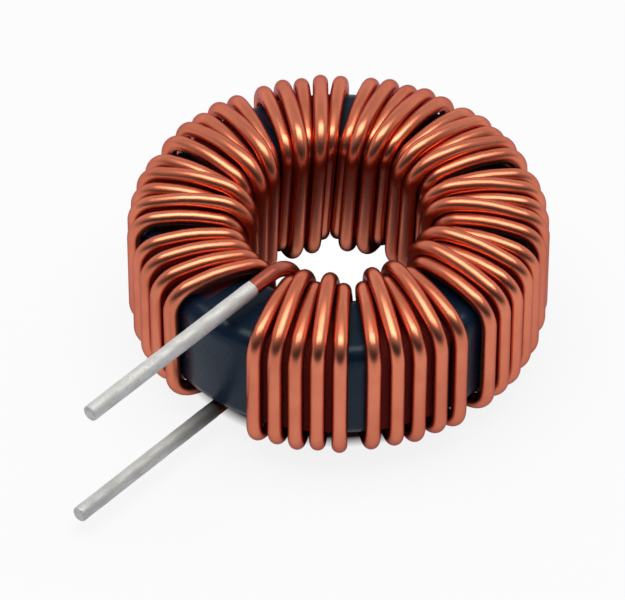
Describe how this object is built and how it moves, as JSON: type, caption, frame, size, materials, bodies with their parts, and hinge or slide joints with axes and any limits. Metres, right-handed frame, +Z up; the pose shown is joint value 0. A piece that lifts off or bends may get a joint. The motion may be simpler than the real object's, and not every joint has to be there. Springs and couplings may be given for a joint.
{
  "type": "toroidal inductor",
  "caption": "Toroidal power inductor: enamelled copper wire wound in spaced groups round a coated powder ring core, with two straight tinned leads side by side.",
  "frame": {"origin": "centre of the ring, at half the core's height", "axes": "+Z up along the ring's axis, on the side of the upper lead; both leads run out towards -Y"},
  "size_m": [0.0414, 0.0586, 0.0174],
  "materials": {
    "core_coating": "satin epoxy coat, dark slate blue",
    "enamelled_copper": "glossy clear enamel over copper",
    "tin": "dull dipped solder"
  },
  "bodies": {
    "root": {"toroid_core": "core_coating", "winding": "enamelled_copper", "upper_lead_tinning": "tin", "lower_lead_tinning": "tin"}
  },
  "joints": []
}
